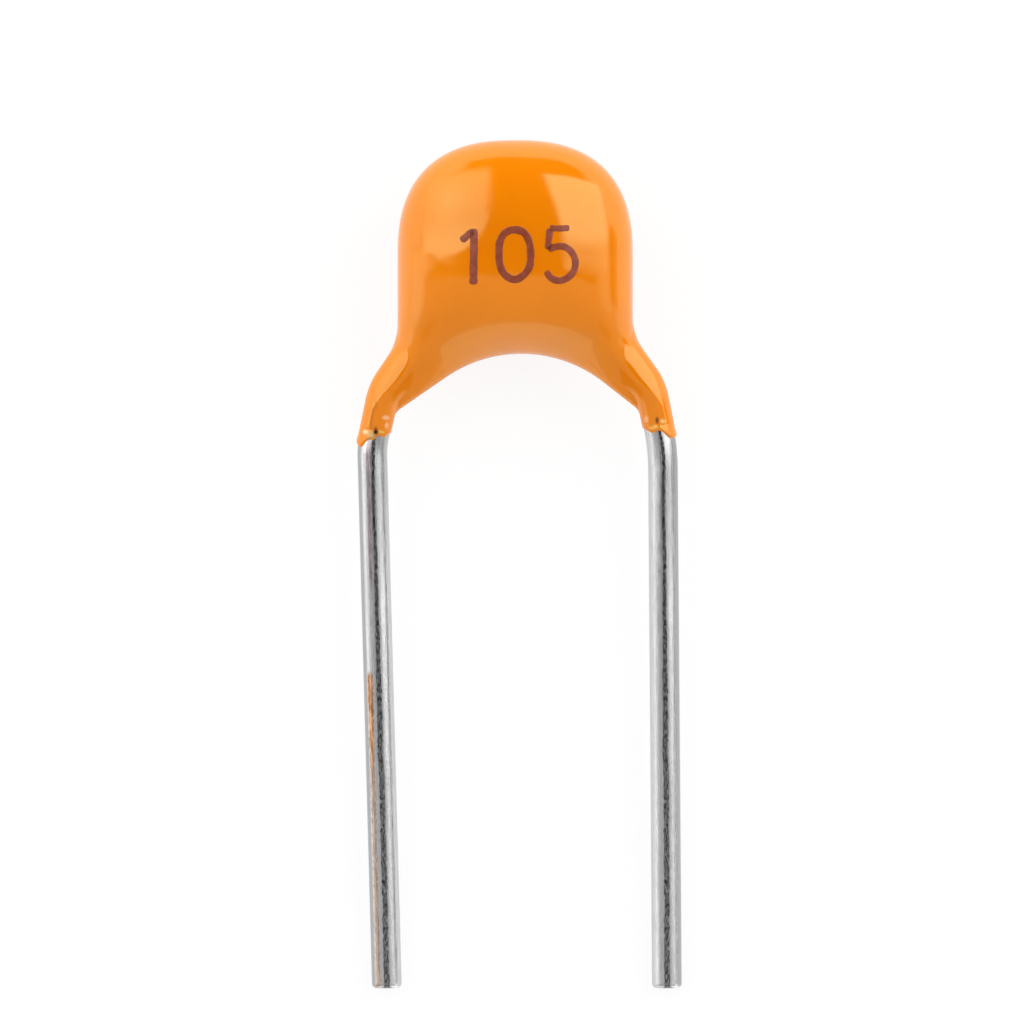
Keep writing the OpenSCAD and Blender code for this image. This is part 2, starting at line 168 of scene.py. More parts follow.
def rounded(points, radii, steps):
    points = [np.asarray(p, float) for p in points]
    out = [points[0]]
    for i in range(1, len(points) - 1):
        out += corner_arc(points[i - 1], points[i], points[i + 1], radii[i - 1], steps)
    return np.array(out + [points[-1]])


def stepped(points, step):
    """A line through the same points, in steps no longer than one step."""
    out = []
    for a, b in zip(points[:-1], points[1:]):
        n = max(1, math.ceil(np.linalg.norm(b - a) / step))
        out += [a + (b - a) * k / n for k in range(n)]
    return np.array(out + [points[-1]])


def run_along(points):
    """The distance of each point from the first, along the line."""
    return np.concatenate([[0], np.cumsum(np.linalg.norm(np.diff(points, axis=0), axis=1))])


def down_out(leg, degrees):
    a = math.radians(degrees)
    return np.array([leg["side"] * math.sin(a), -math.cos(a)])


def outward(leg, degrees):
    a = math.radians(degrees)
    return np.array([leg["side"] * math.cos(a), math.sin(a)])


def kink_corner(leg):
    return np.array([leg["side"] * leg["kink_out"], leg["kink_height"]])


def shoulder_corner(leg):
    rise = (leg["kink_out"] - WIRE_INNER_X) / math.tan(math.radians(leg["flare"]))
    return np.array([leg["side"] * WIRE_INNER_X, leg["kink_height"] + rise])


def below_kink(leg, height):
    """The point of the wire's run below the kink that lies at a height."""
    drop = (leg["kink_height"] - height) / math.cos(math.radians(leg["exit"]))
    return kink_corner(leg) + down_out(leg, leg["exit"]) * drop


def wire_tip(leg):
    run = leg["set_height"] / math.cos(math.radians(leg["lean"]))
    return below_kink(leg, leg["set_height"]) + down_out(leg, leg["lean"]) * run


def leg_outer_edge(leg):
    end = below_kink(leg, leg["coat_end"]) + outward(leg, leg["exit"]) * COAT_AT_END
    low = kink_corner(leg) + outward(leg, leg["flare"]) * COAT_AT_KINK
    high = shoulder_corner(leg) + outward(leg, leg["flare"]) * COAT_AT_SHOULDER
    side = np.array([leg["side"] * BODY_WIDTH / 2, 0.0])
    return rounded([
        end,
        meet(end, down_out(leg, leg["exit"]), low, high - low),
        meet(low, high - low, side, np.array([0.0, 1.0])),
        side + [0, BELLY_HEIGHT],
    ], [KINK_BEND + COAT_AT_KINK, WAIST_RADIUS], EDGE_STEPS)


def outer_edge():
    """The dip's outer edge, from the left leg's end over the dome to the right leg's end."""
    quarter = np.radians(np.linspace(0, 90, DOME_STEPS + 1)[1:])
    dome = np.column_stack([
        BODY_WIDTH / 2 * np.maximum(np.cos(quarter), 0) ** (2 / DOME_POWER),
        BELLY_HEIGHT + DOME_RISE * np.sin(quarter) ** (2 / DOME_POWER),
    ])
    return np.vstack([
        leg_outer_edge(LEGS["left"]),
        dome * [-1, 1],
        dome[-2::-1],
        leg_outer_edge(LEGS["right"])[::-1],
    ])


def inner_edge():
    """The dip's inner edge: down each leg's inside and over the arch between them."""
    def side_of(leg):
        slope = math.radians(leg["arch_slope"])
        touch = ARCH_CENTER + outward(leg, 90 - leg["arch_slope"]) * ARCH_RADIUS
        run = np.array([leg["side"] * math.cos(slope), -math.sin(slope)])
        end = below_kink(leg, leg["coat_end"]) - outward(leg, leg["exit"]) * COAT_AT_END
        return touch, run, end, meet(touch, run, end, down_out(leg, leg["exit"]))

    touch_l, run_l, end_l, toe_l = side_of(LEGS["left"])
    touch_r, run_r, end_r, toe_r = side_of(LEGS["right"])
    crown = meet(touch_l, run_l, touch_r, run_r)
    return rounded([end_l, toe_l, crown, toe_r, end_r],
                   [ARCH_TOE_RADIUS, ARCH_RADIUS, ARCH_TOE_RADIUS], ARCH_STEPS)


def by_bearing(points):
    """An edge as bearings and distances seen from the middle of the arch."""
    d = stepped(points, EDGE_SPACING) - ARCH_CENTER
    return np.degrees(np.arctan2(d[:, 0], d[:, 1])), np.hypot(d[:, 0], d[:, 1])


def edge_points(edge, share):
    bearings, distances = edge
    a = bearings[0] + (bearings[-1] - bearings[0]) * share
    r = np.interp(a, bearings, distances)
    return ARCH_CENTER + np.column_stack([np.sin(np.radians(a)), np.cos(np.radians(a))]) * r[:, None]


# ---- thickness of the dip ---------------------------------------------------------------------


def rounding(distance, depth):
    """The round of an edge: 0 at the edge, 1 from a depth inwards."""
    return np.sqrt(np.maximum(0, 1 - (1 - np.minimum(1, distance / depth)) ** 2))


def smooth_step(share):
    share = np.clip(share, 0, 1)
    return share * share * (3 - 2 * share)


def pillow(p):
    """The dip over the chip."""
    sideways = np.minimum(1, np.abs(p[..., 0]) / (BODY_WIDTH / 2)) ** DOME_POWER
    above = (np.maximum(0, p[..., 1] - BELLY_HEIGHT) / DOME_RISE) ** DOME_POWER
    below = (np.maximum(0, BELLY_HEIGHT - p[..., 1]) / CHIN_DROP) ** CHIN_POWER
    domed = np.maximum(0, 1 - sideways - above) ** (1 / EDGE_POWER)
    return BODY_THICKNESS / 2 * domed / (1 + below)


def leg_line(leg):
    """The wire's middle line under the dip, from below its end to the chip."""
    return np.vstack([
        below_kink(leg, leg["coat_end"] - LINE_REACH),
        corner_arc(below_kink(leg, leg["set_height"]), kink_corner(leg), shoulder_corner(leg),
                   KINK_BEND, BEND_STEPS),
        shoulder_corner(leg),
        shoulder_corner(leg) + [0, LINE_REACH],
    ])


def off_line(p, line, side):
    """Distance from a line, positive on its inner side."""
    best = np.full(p.shape[:-1], FAR_AWAY)
    for a, b in zip(line[:-1], line[1:]):
        run = b - a
        f = np.clip(((p - a) @ run) / (run @ run), 0, 1)
        away = p - (a + f[..., None] * run)
        far = np.linalg.norm(away, axis=-1)
        inward = side * (run[0] * away[..., 1] - run[1] * away[..., 0])
        best = np.where(far < np.abs(best), np.where(inward > 0, far, -far), best)
    return best


def by_height(leg, y, values):
    """A value that changes from the dip's end to the kink and on to the shoulder."""
    return np.interp(y, [leg["coat_end"], leg["kink_height"], shoulder_corner(leg)[1]], values)


def ridge(p, to_inner):
    """The dip over a wire: a broad outer face up to a crest, and a short steep inner face."""
    out = np.zeros(p.shape[:-1])
    for leg in LEGS.values():
        radius = by_height(leg, p[..., 1], [COAT_AT_END, COAT_AT_KINK, COAT_AT_SHOULDER])
        height = by_height(leg, p[..., 1], [COAT_AT_END, RIDGE_AT_KINK, RIDGE_AT_SHOULDER])
        lean = smooth_step((p[..., 1] - leg["kink_height"] + CREST_FADE) / (2 * CREST_FADE))
        past = off_line(p, leg_line(leg), leg["side"]) - CREST_SHIFT * lean
        outer = np.sqrt(np.maximum(0, 1 - (past / (radius + CREST_SHIFT * lean)) ** 2))
        circle = np.sqrt(np.maximum(0, 1 - (past / radius) ** 2))
        fall = CREST_ROUNDING - np.hypot(CREST_ROUNDING, INNER_SLOPE * past)
        slope = np.maximum(0, 1 + fall / height) * rounding(to_inner, SLOPE_EDGE_DEPTH)
        inner = circle + (slope - circle) * lean
        mine = height * np.where(past < 0, outer, inner)
        out = np.where(np.sign(p[..., 0]) == leg["side"], mine, out)
    return out


def web(share):
    """The thin skin between the chip and the wires."""
    return WEB_THICKNESS / 2 * rounding(np.minimum(share, 1 - share), WEB_FADE)


def half_depth(p, share, width, to_outer, to_inner):
    arch_round = rounding(to_inner, np.minimum(ARCH_EDGE_DEPTH, EDGE_SHARE * width))
    side_round = rounding(to_outer, np.minimum(WEB_EDGE_DEPTH, EDGE_SHARE * width))
    return ((pillow(p) * arch_round) ** BLEND_POWER + ridge(p, to_inner) ** BLEND_POWER
            + (web(share) * arch_round * side_round) ** BLEND_POWER) ** (1 / BLEND_POWER)


def dip_sections():
    """Rings of the dip from the left leg over the body to the right leg."""
    share = np.linspace(0, 1, DIP_SECTIONS)
    outer_table, inner_table = by_bearing(outer_edge()), by_bearing(inner_edge())

    def square_to(table):
        low = edge_points(table, np.maximum(0, share - SQUARE_PROBE))
        high = edge_points(table, np.minimum(1, share + SQUARE_PROBE))
        return turned(unit(high - low), -90)

    outer, inner = edge_points(outer_table, share), edge_points(inner_table, share)
    width = np.linalg.norm(inner - outer, axis=1)
    handle = np.minimum(width / 3, LONGEST_HANDLE)[:, None]
    first, last = outer + square_to(outer_table) * handle, inner - square_to(inner_table) * handle
    angle = np.linspace(0, 2 * math.pi, DIP_RING, endpoint=False)
    s = ((1 - np.cos(angle)) / 2)[None, :, None]
    p = (outer[:, None] * (1 - s) ** 3 + first[:, None] * 3 * s * (1 - s) ** 2
         + last[:, None] * 3 * s ** 2 * (1 - s) + inner[:, None] * s ** 3)
    z = half_depth(p, share[:, None], width[:, None], np.linalg.norm(p - outer[:, None], axis=-1),
                   np.linalg.norm(p - inner[:, None], axis=-1))
    z[:, 0] = z[:, DIP_RING // 2] = 0
    z *= np.where(angle < math.pi, 1, -1)[None, :]
    return np.concatenate([p, z[..., None]], axis=-1)


def creep_rings(leg, creep):
    """Rings of the dip's ragged end, from just past its nominal end down the wire."""
    route = stepped(rounded([
        kink_corner(leg), below_kink(leg, leg["set_height"]), wire_tip(leg)
    ], [leg["set_bend"]], EDGE_STEPS), ROUTE_SPACING)
    start = np.argmin(np.linalg.norm(route - below_kink(leg, leg["coat_end"]), axis=1))
    route = route[start:]
    run = run_along(route)
    angle = np.linspace(0, 360, DIP_RING, endpoint=False)
    table = np.array(creep + ((360, creep[0][1]),), float)
    limit = np.interp(angle, table[:, 0], table[:, 1])
    waves = np.fft.fftfreq(DIP_RING) * DIP_RING
    limit = np.real(np.fft.ifft(np.fft.fft(limit) * np.exp(-(waves / CREEP_WAVES) ** 2)))

    def on_route(distance):
        return np.array([np.interp(distance, run, route[:, k]) for k in (0, 1)])

    rings = []
    for distance in np.arange(CREEP_STEP, CREEP_REACH, CREEP_STEP):
        center = on_route(distance)
        out = turned(unit(on_route(distance + AHEAD_PROBE) - center), 90 * leg["side"])
        left_over = limit - distance
        swell = RIM_SWELL * np.exp(-((left_over - RIM_WIDTH) / RIM_WIDTH) ** 2)
        round_end = rounding(np.maximum(0, left_over), RIM_WIDTH)
        coat = (COAT_AT_END - WIRE_RADIUS + swell) * round_end
        radius = WIRE_RADIUS - FILM_TUCK + np.where(left_over > 0, coat, -SUNK_UNDER_WIRE)
        a = np.radians(angle)
        flat = center + out * (np.cos(a) * radius)[:, None]
        rings.append(np.column_stack([flat, np.sin(a) * radius]))
    return np.array(rings)


def dip_mesh():
    rings = np.concatenate([
        creep_rings(LEGS["left"], CREEP["left"])[::-1],
        dip_sections(),
        creep_rings(LEGS["right"], CREEP["right"]),
    ])
    count = len(rings)
    k = np.arange(count - 1)[:, None] * DIP_RING
    i = np.arange(DIP_RING)[None, :]
    j = (i + 1) % DIP_RING
    quads = np.stack([k + i, k + j, k + DIP_RING + j, k + DIP_RING + i], axis=-1).reshape(-1, 4)
    faces = quads.tolist()
    faces.append(list(range(DIP_RING - 1, -1, -1)))
    faces.append([(count - 1) * DIP_RING + n for n in range(DIP_RING)])
    mesh = bpy.data.meshes.new("dipped_coating")
    mesh.from_pydata(lay_down(rings.reshape(-1, 3)).tolist(), [], faces)
    mesh.shade_smooth()
    return mesh


# ---- node helpers -----------------------------------------------------------------------------


def placed(name, data):
    obj = bpy.data.objects.new(name, data)
    bpy.context.collection.objects.link(obj)
    return obj


class Tree:
    """Adds nodes to a tree and joins them. An input is fed by its name, or by its place as _0."""

    def __init__(self, tree):
        self.tree = tree

    def add(self, kind, settings=None, **inputs):
        node = self.tree.nodes.new(kind)
        for key, value in (settings or {}).items():
            setattr(node, key, value)
        for key, value in inputs.items():
            self.feed(node, key, value)
        return node

    def feed(self, node, key, value):
        place = key.lstrip("_")
        socket = node.inputs[int(place) if place.isdigit() else key.replace("_", " ")]
        if isinstance(value, bpy.types.NodeSocket):
            self.tree.links.new(value, socket)
        else:
            socket.default_value = value

    def math(self, operation, a, b=0.0):
        return self.add("ShaderNodeMath", {"operation": operation}, _0=a, _1=b).outputs[0]

    def plus(self, a, b):
        return self.math("ADD", a, b)

    def minus(self, a, b):
        return self.math("SUBTRACT", a, b)

    def times(self, first, *others):
        for other in others:
            first = self.math("MULTIPLY", first, other)
        return first

    def larger(self, first, *others):
        for other in others:
            first = self.math("MAXIMUM", first, other)
        return first

    def vectors(self, operation, *values, result=0):
        inputs = {f"_{place}": value for place, value in enumerate(values)}
        return self.add("ShaderNodeVectorMath", {"operation": operation}, **inputs).outputs[result]

    def ramp(self, value, low, high, start=0.0, end=1.0):
        """A smooth change from start to end as the value goes from low to high."""
        return self.add("ShaderNodeMapRange", {"interpolation_type": "SMOOTHSTEP"}, _0=value,
                        _1=low, _2=high, _3=start, _4=end).outputs[0]

    def noise(self, vector, scale, detail=2.0, roughness=0.5):
        return self.add("ShaderNodeTexNoise", Vector=vector, Scale=scale, Detail=detail,
                        Roughness=roughness).outputs[0]

    def mixed(self, share, under, over):
        mix = self.add("ShaderNodeMix", {"data_type": "RGBA"}, _0=share, _6=under, _7=over)
        return mix.outputs[2]


class Finish(Tree):
    """A material of one shader, and its tree."""

    def __init__(self, name):
        self.material = bpy.data.materials.new(name)
        self.material.use_nodes = True
        self.material.node_tree.nodes.clear()
        super().__init__(self.material.node_tree)
        self.shader = self.add("ShaderNodeBsdfPrincipled")
        self.out = self.add("ShaderNodeOutputMaterial", Surface=self.shader.outputs[0])

    def shade(self, **inputs):
        for key, value in inputs.items():
            self.feed(self.shader, key, value)

    def bump(self, height, strength, depth):
        return self.add("ShaderNodeBump", Height=height, Strength=strength,
                        Distance=depth * MM).outputs[0]


def new_shape_tree(name, inputs, output):
    """A Geometry Nodes tree with named inputs: its node helper and the inputs' sockets."""
    tree = bpy.data.node_groups.new(name, "GeometryNodeTree")
    for label, kind in inputs.items():
        tree.interface.new_socket(label, in_out="INPUT", socket_type="NodeSocket" + kind)
    tree.interface.new_socket(output, in_out="OUTPUT", socket_type="NodeSocketGeometry")
    t = Tree(tree)
    return t, t.add("NodeGroupInput").outputs


def end_shape_tree(t, shape, finish, output):
    smooth = t.add("GeometryNodeSetShadeSmooth", Geometry=shape, Shade_Smooth=True).outputs[0]
    real = t.add("GeometryNodeRealizeInstances", Geometry=smooth).outputs[0]
    done = t.add("GeometryNodeSetMaterial", Geometry=real, Material=finish).outputs[0]
    t.add("NodeGroupOutput", **{output: done})
    return t.tree


def give(modifier, **values):
    """Sets a Geometry Nodes modifier's inputs by their names in the tree."""
    for item in modifier.node_group.interface.items_tree:
        key = item.name.replace(" ", "_")
        if item.item_type == "SOCKET" and item.in_out == "INPUT" and key in values:
            modifier[item.identifier] = values[key]


def settle(obj, name):
    """Turns an object and its node tree into one plain mesh object."""
    bpy.context.view_layer.update()
    graph = bpy.context.evaluated_depsgraph_get()
    mesh = bpy.data.meshes.new_from_object(obj.evaluated_get(graph),
                                           preserve_all_data_layers=True, depsgraph=graph)
    bpy.data.objects.remove(obj)
    mesh.name = name
    return placed(name, mesh)


# ---- finish of the dip --------------------------------------------------------------------------

# Colours are given as dark and pale, and noise by its scale over a metre and its detail
EPOXY = ((0.82, 0.207, 0.0, 1), (0.86, 0.222, 0.0, 1))
EPOXY_CLOUD = (700, 3)
EPOXY_ROUGHNESS = (0.05, 0.09)
EPOXY_SMEAR = (2500, 2)
EPOXY_IOR = 1.55
EPOXY_SHINE = 0.95
EPOXY_SHINE_TINT = (0.9, 1.0, 0.5, 1)
RIPPLE = (1600, 1)
RIPPLE_STRENGTH = 0.2
RIPPLE_DEPTH = 0.03
MIDDLE_TONES = (0.3, 0.7)

# Marks in the coating, and painted shade and painted glints on it: place on the standing
# capacitor, half width, half height, colour, share
# Painted shade: a darker spot on the body, and a darker line along the left leg's crest
PAINTED_SHADE_SPOT = (0.62, 0.13, 0.0, 1)
PAINTED_FOLD_SHADE = (0.56, 0.16, 0.008, 1)
THIN_FILM = (0.53, 0.29, 0.1, 1)
AMBER_FILM = (0.75, 0.33, 0.04, 1)
BROWN_FILM = (0.64, 0.28, 0.01, 1)
OLIVE_FILM = (0.48, 0.25, 0.01, 1)
RED_FILM = (0.6, 0.2, 0.05, 1)
# Dark spots where the dip ends on the wires
DARKEST_SPOT = (0.04, 0.008, 0.006, 1)
DARK_BROWN_SPOT = (0.2, 0.035, 0.004, 1)
# Painted glints: pale spots laid as colour on the dip's ends
PAINTED_GLINT = (1.0, 0.5, 0.27, 1)
PALEST_PAINTED_GLINT = (1.0, 0.68, 0.42, 1)
YELLOW_PAINTED_GLINT = (1.0, 0.56, 0.2, 1)
MARKS_AND_PAINTED_LIGHT = (
    ((-1.667, 13.22, 1.1), 0.06, 0.17, PAINTED_SHADE_SPOT, 0.55),
    ((-2.464, 10.33, 0.4), 0.035, 0.11, PAINTED_FOLD_SHADE, 0.55),
    ((-2.505, 10.22, 0.38), 0.035, 0.11, PAINTED_FOLD_SHADE, 0.6),
    ((-2.53, 10.12, 0.36), 0.035, 0.11, PAINTED_FOLD_SHADE, 0.6),
    ((-2.543, 10.02, 0.33), 0.035, 0.11, PAINTED_FOLD_SHADE, 0.6),
    ((-2.535, 9.91, 0.32), 0.035, 0.1, PAINTED_FOLD_SHADE, 0.6),
    ((-2.54, 9.78, 0.3), 0.1, 0.09, THIN_FILM, 0.9),
    ((-2.465, 9.85, 0.3), 0.04, 0.08, DARKEST_SPOT, 1.0),
    ((-2.645, 9.84, 0.25), 0.05, 0.045, PALEST_PAINTED_GLINT, 0.9),
    ((-2.29, 10.09, 0.2), 0.07, 0.04, PAINTED_GLINT, 0.85),
    ((-2.275, 9.95, 0.15), 0.035, 0.06, PAINTED_GLINT, 0.7),
    ((-2.36, 9.84, 0.25), 0.045, 0.04, OLIVE_FILM, 0.8),
    ((2.51, 10.045, 0.3), 0.036, 0.065, DARK_BROWN_SPOT, 1.0),
    ((2.32, 10.06, 0.15), 0.045, 0.06, PAINTED_GLINT, 0.7),
    ((2.61, 10.03, 0.28), 0.06, 0.04, YELLOW_PAINTED_GLINT, 0.85),
    ((2.47, 9.93, 0.3), 0.1, 0.05, AMBER_FILM, 0.7),
    ((2.575, 9.93, 0.3), 0.035, 0.07, BROWN_FILM, 0.8),
    ((2.7, 9.78, 0.25), 0.035, 0.06, RED_FILM, 0.8),
)
MARK_DEPTH = 0.3
MARK_EDGE = (0.3, 1.4)
MARK_GRAIN = (12000, 2)
MARK_RAGGEDNESS = 0.8


def marked(t, where, color):
    """A colour with the marks, the painted shade and the painted glints laid over it one
    after another.
    """
    ragged = t.times(t.minus(t.noise(where, *MARK_GRAIN), 0.5), MARK_RAGGEDNESS)
    for place, half_width, half_height, laid_colour, share in MARKS_AND_PAINTED_LIGHT:
        away = t.vectors("SUBTRACT", where, tuple(lay_down([place])[0]))
        one_over = [1 / (MM * half) for half in (half_width, half_height, MARK_DEPTH)]
        far = t.vectors("LENGTH", t.vectors("MULTIPLY", away, one_over), result="Value")
        color = t.mixed(t.ramp(t.plus(far, ragged), *MARK_EDGE, share, 0.0), color, laid_colour)
    return color


def glossy_orange_epoxy():
    t = Finish("glossy_orange_epoxy")
    where = t.add("ShaderNodeTexCoord").outputs["Object"]
    cloud = t.ramp(t.noise(where, *EPOXY_CLOUD), *MIDDLE_TONES)
    smear = t.ramp(t.noise(where, *EPOXY_SMEAR), *MIDDLE_TONES, *EPOXY_ROUGHNESS)
    ripple = t.bump(t.noise(where, *RIPPLE), RIPPLE_STRENGTH, RIPPLE_DEPTH)
    t.shade(Base_Color=marked(t, where, t.mixed(cloud, *EPOXY)), Roughness=smear,
            IOR=EPOXY_IOR, Specular_IOR_Level=EPOXY_SHINE, Specular_Tint=EPOXY_SHINE_TINT,
            Normal=ripple)
    return t.material


# ---- finish of the wires ------------------------------------------------------------------------

BRIGHT_TIN = (0.8, 0.8, 0.805, 1)
CLOUDED_TIN = (0.66, 0.66, 0.67, 1)
# Painted light on the tin, in order: flank shade, shade near the dip, a highlight, edge shade and a
# dark reflection
PAINTED_FLANK_SHADE_TIN = (0.5, 0.5, 0.51, 1)
PAINTED_SHADE_NEAR_DIP_TIN = (0.5, 0.5, 0.5, 1)
PAINTED_HIGHLIGHT_TIN = (0.98, 0.98, 0.98, 1)
PAINTED_EDGE_SHADE_TIN = (0.36, 0.36, 0.37, 1)
PAINTED_DARK_REFLECTION_TIN = (0.04, 0.04, 0.045, 1)
BLUSHING_TIN = (0.42, 0.3, 0.31, 1)
COPPER = ((0.36, 0.15, 0.05, 1), (0.84, 0.44, 0.22, 1))
FADED_COPPER = (0.36, 0.26, 0.17, 1)
WIRE_ROUGHNESS = (0.1, 0.2)
DRAWN_STRENGTH = 0.4
DRAWN_DEPTH = 0.01

# Grain of the wire: how fine round the wire and along it, then scale, detail and roughness
MOTTLE_GRAIN = (1.0, 0.6, 5.0, 5, 0.65)
FINE_GRAIN = (3.0, 3.0, 4.0, 4, 0.75)
DRIFT_GRAIN = (0.0, 0.5, 1.0, 2, 0.6)
PATCH_GRAIN = (2.0, 1.0, 3.0, 3, 0.6)
DRAWN_GRAIN = (6.0, 0.5, 3.0, 4, 0.6)

# Lines along the wire, by how far sideways the surface faces there: the middle, half the width,
# the softness of the sides and their raggedness. The bright line is a painted highlight and the
# edge lines are painted shade
PAINTED_HIGHLIGHT_LINE = (0.45, 0.16, 0.06, 0.1)
PAINTED_EDGE_SHADE_WORN_WIRE = (-0.88, 0.14, 0.08, 0.1)
PAINTED_EDGE_SHADE_SOUND_WIRE = (0.86, 0.14, 0.08, 0.1)
BLUSH_LINE = (-0.33, 0.1, 0.05, 0.15)
LINE_FRONT = (0.0, 0.2)
# The painted dark reflection along the wire's top: its middle, drift and sides
PAINTED_DARK_REFLECTION_MIDDLE = 0.03
PAINTED_DARK_REFLECTION_DRIFT = 0.3
PAINTED_DARK_REFLECTION_SIDES = (0.04, 0.3)
COPPER_MIDDLE = -0.56
COPPER_SIDES = (0.06, 0.45)

# What changes along the wire: from and to in millimetres from the tip, the value at each
PAINTED_SHADE_NEAR_DIP_SHARE = (7.2, 9.3, 0.0, 0.75)
PAINTED_HIGHLIGHT_SHARE = (6.6, 7.8, 1.0, 0.0)
PAINTED_DARK_REFLECTION_HALF_WIDTH = (4.5, 8.0, 0.17, 0.09)
BLUSH_SHARE = (6.8, 7.4, 0.0, 1.0)
COPPER_HALF_WIDTH = (3.6, 5.4, 0.14, 0.17)
COPPER_END = (5.5, 5.65, 1.0, 0.0)
COPPER_SHARE = (3.0, 4.6, 0.75, 0.95)
FADED_SHARE = (3.4, 4.6, 0.6, 0.0)

# Other shares: of the painted flank shade by how far up the surface faces, of the painted shade
# near the dip by how far sideways, of the mottle, the painted dark reflection and the copper by
# their grain
PAINTED_FLANK_SHADE_SHARE = (0.35, 0.8, 0.7, 0.0)
PAINTED_SHADE_NEAR_DIP_SIDE = (0.1, 0.35)
CLOUDED_SHARE = (0.35, 0.75)
PAINTED_DARK_REFLECTION_SHARE = (0.4, 0.62, 1.0, 0.35)
COPPER_PATCH = (0.4, 0.62)
# At most how much of the painted highlight, the painted edge shade and the blush is laid
PAINTED_HIGHLIGHT_AT_MOST = 0.9
PAINTED_EDGE_SHADE_AT_MOST = 0.75
BLUSH_AT_MOST = 0.75


class WireFinish(Finish):
    """A wire's finish, with what its grain and lines are measured by."""

    def __init__(self, name):
        super().__init__(name)
        facing = self.add("ShaderNodeAttribute", {"attribute_name": "facing"}).outputs["Vector"]
        parts = self.add("ShaderNodeSeparateXYZ", Vector=facing).outputs
        self.sideways, self.front = parts[0], parts[2]
        self.along = self.add("ShaderNodeAttribute", {"attribute_name": "along"}).outputs["Fac"]
        self.fine = self.grain(*FINE_GRAIN)

    def grain(self, round_wire, along_wire, scale, detail, roughness):
        at = self.add("ShaderNodeCombineXYZ", X=self.times(self.sideways, round_wire),
                      Y=self.times(self.along, along_wire), Z=self.times(self.front, round_wire))
        return self.noise(at.outputs[0], scale, detail, roughness)

    def line(self, middle, half_width, soft, ragged):
        off = self.math("ABSOLUTE", self.minus(self.sideways, middle))
        off = self.plus(off, self.times(self.minus(self.fine, 0.5), ragged))
        inside = self.ramp(self.minus(off, half_width), -soft, soft, 1.0, 0.0)
        return self.times(inside, self.ramp(self.front, *LINE_FRONT))

    def worn(self, tone):
        """A blush near the dip, and a line near the tip where the copper shows."""
        blush = self.times(self.line(*BLUSH_LINE), self.ramp(self.along, *BLUSH_SHARE))
        tone = self.mixed(self.times(blush, BLUSH_AT_MOST), tone, BLUSHING_TIN)
        half_width = self.ramp(self.along, *COPPER_HALF_WIDTH)
        streak = self.times(self.line(COPPER_MIDDLE, half_width, *COPPER_SIDES),
                            self.ramp(self.along, *COPPER_END))
        bare = self.mixed(self.ramp(self.grain(*PATCH_GRAIN), *COPPER_PATCH), *COPPER)
        bare = self.mixed(self.ramp(self.along, *FADED_SHARE), bare, FADED_COPPER)
        return self.mixed(self.times(streak, self.ramp(self.along, *COPPER_SHARE)), tone, bare)


def tinned_wire(name, worn):
    """Tin over the drawn wire, with a painted highlight line, painted shade on its flanks, along one
    edge and near the dip, and a painted dark reflection along its top; a worn wire shows a line of
    its copper near the tip.
    """
    t = WireFinish(name)
    mottle = t.grain(*MOTTLE_GRAIN)
    tone = t.mixed(t.ramp(mottle, *CLOUDED_SHARE), BRIGHT_TIN, CLOUDED_TIN)
    # Painted shade: the tin darker where its surface turns away from facing up
    tone = t.mixed(t.ramp(t.front, *PAINTED_FLANK_SHADE_SHARE), tone, PAINTED_FLANK_SHADE_TIN)
    # Painted shade near the dip, on the side of the wire facing right, dimming its reflection there
    film = t.times(t.ramp(t.along, *PAINTED_SHADE_NEAR_DIP_SHARE), t.ramp(t.sideways, *PAINTED_SHADE_NEAR_DIP_SIDE))
    tone = t.mixed(film, tone, PAINTED_SHADE_NEAR_DIP_TIN)
    # A painted highlight: a bright line along the wire, fading out towards the dip
    painted_highlight = t.times(t.line(*PAINTED_HIGHLIGHT_LINE), t.ramp(t.along, *PAINTED_HIGHLIGHT_SHARE), PAINTED_HIGHLIGHT_AT_MOST)
    tone = t.mixed(painted_highlight, tone, PAINTED_HIGHLIGHT_TIN)
    # Painted shade along one edge of the wire's top: the left edge on the worn wire, the right on
    # the other
    edge = t.line(*(PAINTED_EDGE_SHADE_WORN_WIRE if worn else PAINTED_EDGE_SHADE_SOUND_WIRE))
    tone = t.mixed(t.times(edge, PAINTED_EDGE_SHADE_AT_MOST), tone, PAINTED_EDGE_SHADE_TIN)
    # A painted dark reflection: a ragged dark line along the middle of the wire's top
    drift = t.times(t.minus(t.grain(*DRIFT_GRAIN), 0.5), PAINTED_DARK_REFLECTION_DRIFT)
    dark_reflection = t.line(t.plus(drift, PAINTED_DARK_REFLECTION_MIDDLE), t.ramp(t.along, *PAINTED_DARK_REFLECTION_HALF_WIDTH), *PAINTED_DARK_REFLECTION_SIDES)
    tone = t.mixed(t.times(dark_reflection, t.ramp(t.fine, *PAINTED_DARK_REFLECTION_SHARE)), tone, PAINTED_DARK_REFLECTION_TIN)
    t.shade(Base_Color=t.worn(tone) if worn else tone, Metallic=1.0,
            Roughness=t.ramp(mottle, *MIDDLE_TONES, *WIRE_ROUGHNESS),
            Normal=t.bump(t.grain(*DRAWN_GRAIN), DRAWN_STRENGTH, DRAWN_DEPTH))
    return t.material


# ---- finishes of the ink and of the pieces sealed inside ------------------------------------------

INK = ((0.24, 0.04, 0.01, 1), (0.3, 0.062, 0.03, 1))
INK_BLOTCH = (9000, 3)
INK_TONES = (0.35, 0.7)
INK_ROUGHNESS = 0.3

